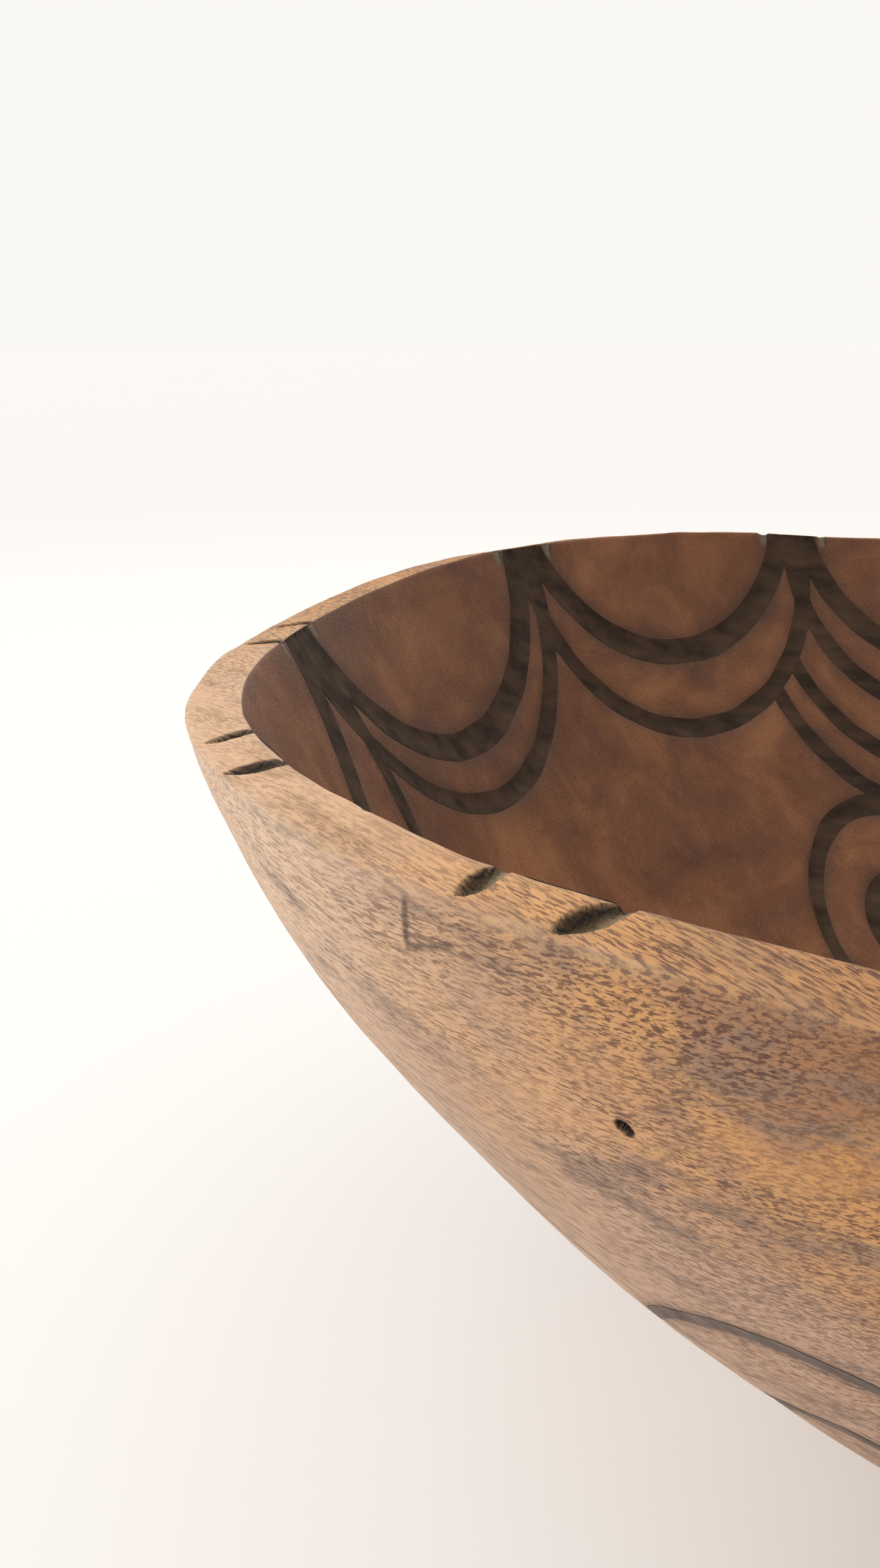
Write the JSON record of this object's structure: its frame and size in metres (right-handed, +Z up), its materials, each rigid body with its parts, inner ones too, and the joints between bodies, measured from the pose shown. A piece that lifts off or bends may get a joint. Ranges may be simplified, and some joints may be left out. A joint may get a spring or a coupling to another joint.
{
  "type": "carved wooden bowl",
  "caption": "Wide round wooden bowl with a small flat foot, paired gouge cuts across its rim, and dark carved lines inside and outside.",
  "frame": {"origin": "middle of the foot's flat underside", "axes": "+Z up along the bowl's axis; the worm hole and the better side face -X and -Y"},
  "size_m": [0.303, 0.303, 0.118],
  "materials": {
    "carved_wood": "hand carved, bare outside and darkened inside, worn smooth",
    "burnt_line": "gouged line burnt and darkened, matt",
    "faded_line": "gouged line darkened and faded to grey brown, matt"
  },
  "bodies": {
    "root": {"bowl_body": "carved_wood", "festoon_upper_lines": "burnt_line", "festoon_under_lines": "burnt_line", "lower_festoon_lines": "burnt_line", "floor_ring_lines": "burnt_line", "outer_arch_lines": "faded_line", "inner_arch_lines": "faded_line"}
  },
  "joints": []
}
